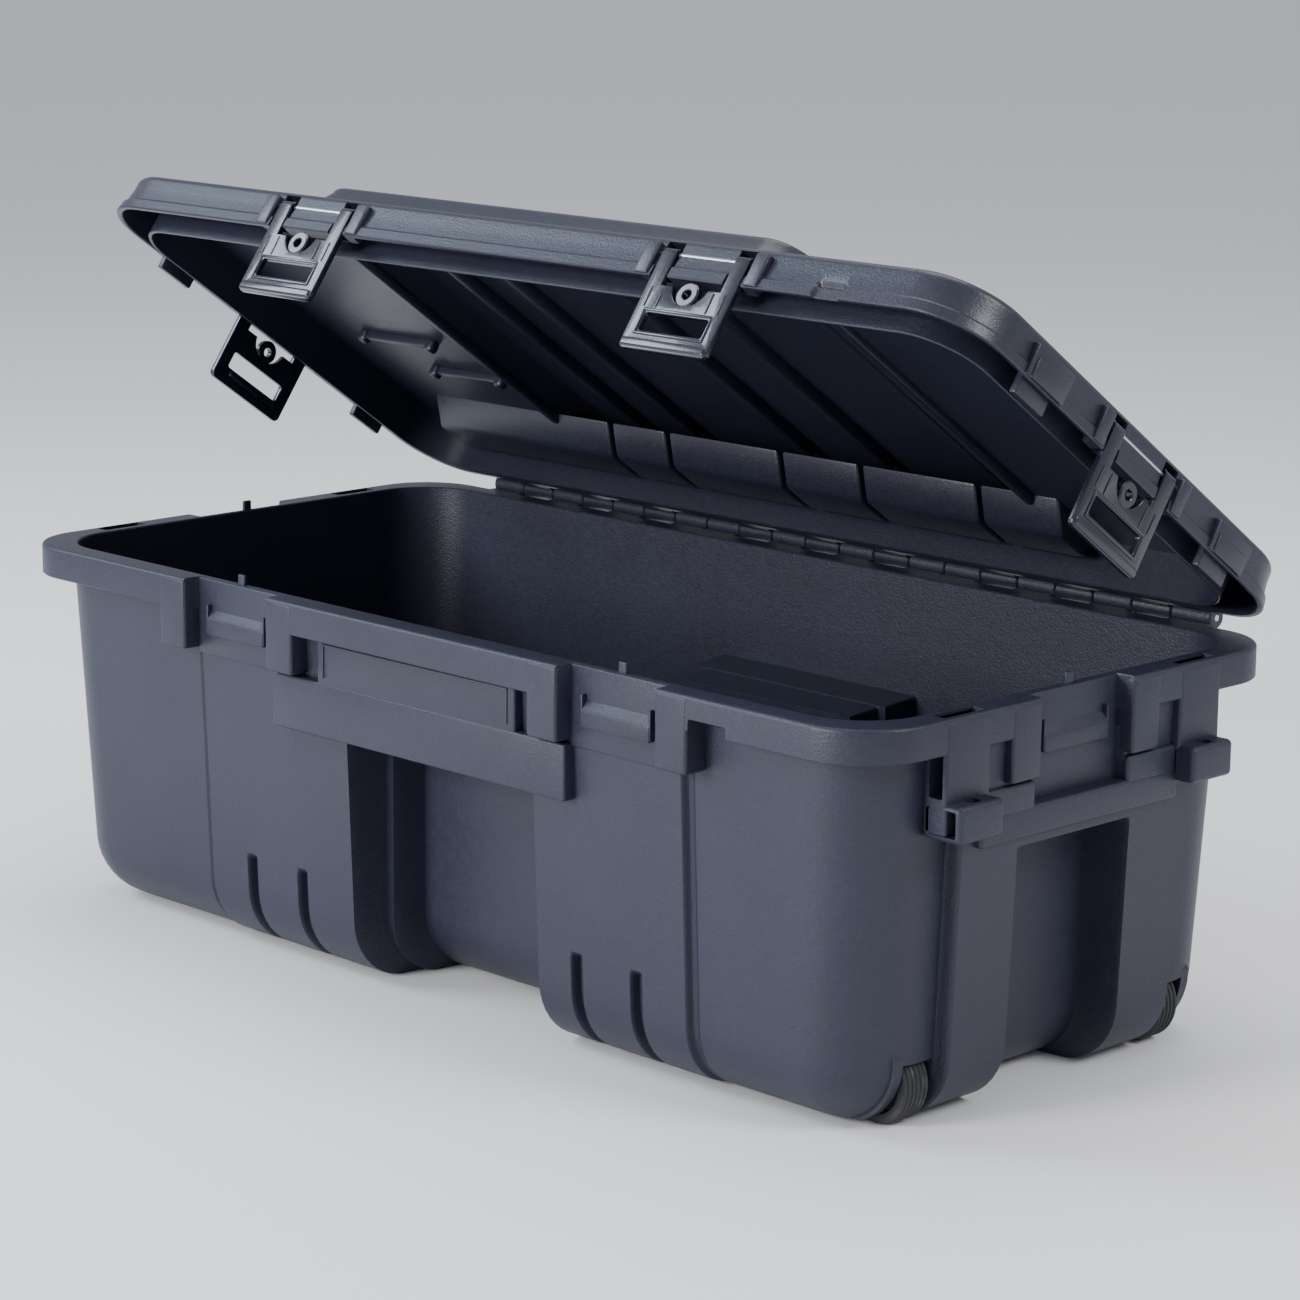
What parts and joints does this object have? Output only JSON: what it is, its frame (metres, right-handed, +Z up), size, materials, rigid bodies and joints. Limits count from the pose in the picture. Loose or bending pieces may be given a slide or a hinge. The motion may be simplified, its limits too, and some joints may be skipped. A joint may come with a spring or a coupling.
{
  "type": "deck storage box",
  "caption": "Wheeled plastic deck storage box with a hinged lid held open, swinging draw latches, rope lugs and recessed grips.",
  "frame": {"origin": "middle of the flat underside of the tub, on the ground", "axes": "+X along the length towards the wheeled end, -Y towards the latched front, +Z up"},
  "size_m": [0.978, 0.4821, 0.5989],
  "materials": {
    "tub_charcoal": "fine matt texture",
    "lid_charcoal": "satin with a fine texture outside",
    "latch_gloss": "polished",
    "wheel_black": "matt, scuffed tread",
    "steel": "plain drawn rod"
  },
  "bodies": {
    "tub_body": {"tub": "tub_charcoal", "hinge_pin_left": "steel", "hinge_pin_centre": "steel", "hinge_pin_right": "steel", "wheel_axle_front": "steel", "wheel_axle_rear": "steel"},
    "lid_body": {"lid": "lid_charcoal", "latch_pin_front_left": "steel", "latch_pin_front_right": "steel", "latch_pin_left_end": "steel", "latch_pin_right_end": "steel"},
    "front_left_latch": {"latch_front_left": "latch_gloss"},
    "front_right_latch": {"latch_front_right": "latch_gloss"},
    "left_end_latch": {"latch_left_end": "latch_gloss"},
    "right_end_latch": {"latch_right_end": "latch_gloss"},
    "front_wheel": {"wheel_front": "wheel_black"},
    "rear_wheel": {"wheel_rear": "wheel_black"}
  },
  "joints": [
    {"name": "lid_hinge", "type": "hinge", "parent": "tub_body", "child": "lid_body", "pos_m": [0, 0.244, 0.302], "axis": [-1, 0, 0], "range_deg": [-35, 70]},
    {"name": "front_left_latch_pivot", "type": "hinge", "parent": "lid_body", "child": "front_left_latch", "pos_m": [-0.201, -0.1288, 0.58465], "axis": [-1, 0, 0], "range_deg": [-3, 110]},
    {"name": "front_right_latch_pivot", "type": "hinge", "parent": "lid_body", "child": "front_right_latch", "pos_m": [0.225, -0.1288, 0.58465], "axis": [-1, 0, 0], "range_deg": [-3, 110]},
    {"name": "left_end_latch_pivot", "type": "hinge", "parent": "lid_body", "child": "left_end_latch", "pos_m": [-0.4695, 0.05428, 0.45645], "axis": [0, 0.8192, -0.5736], "range_deg": [-3, 110]},
    {"name": "right_end_latch_pivot", "type": "hinge", "parent": "lid_body", "child": "right_end_latch", "pos_m": [0.4695, 0.05428, 0.45645], "axis": [0, -0.8192, 0.5736], "range_deg": [-3, 110]},
    {"name": "front_wheel_spin", "type": "hinge", "parent": "tub_body", "child": "front_wheel", "pos_m": [0.4175, -0.139, 0.03], "axis": [0, 1, 0], "continuous": true},
    {"name": "rear_wheel_spin", "type": "hinge", "parent": "tub_body", "child": "rear_wheel", "pos_m": [0.4175, 0.139, 0.03], "axis": [0, 1, 0], "continuous": true}
  ]
}
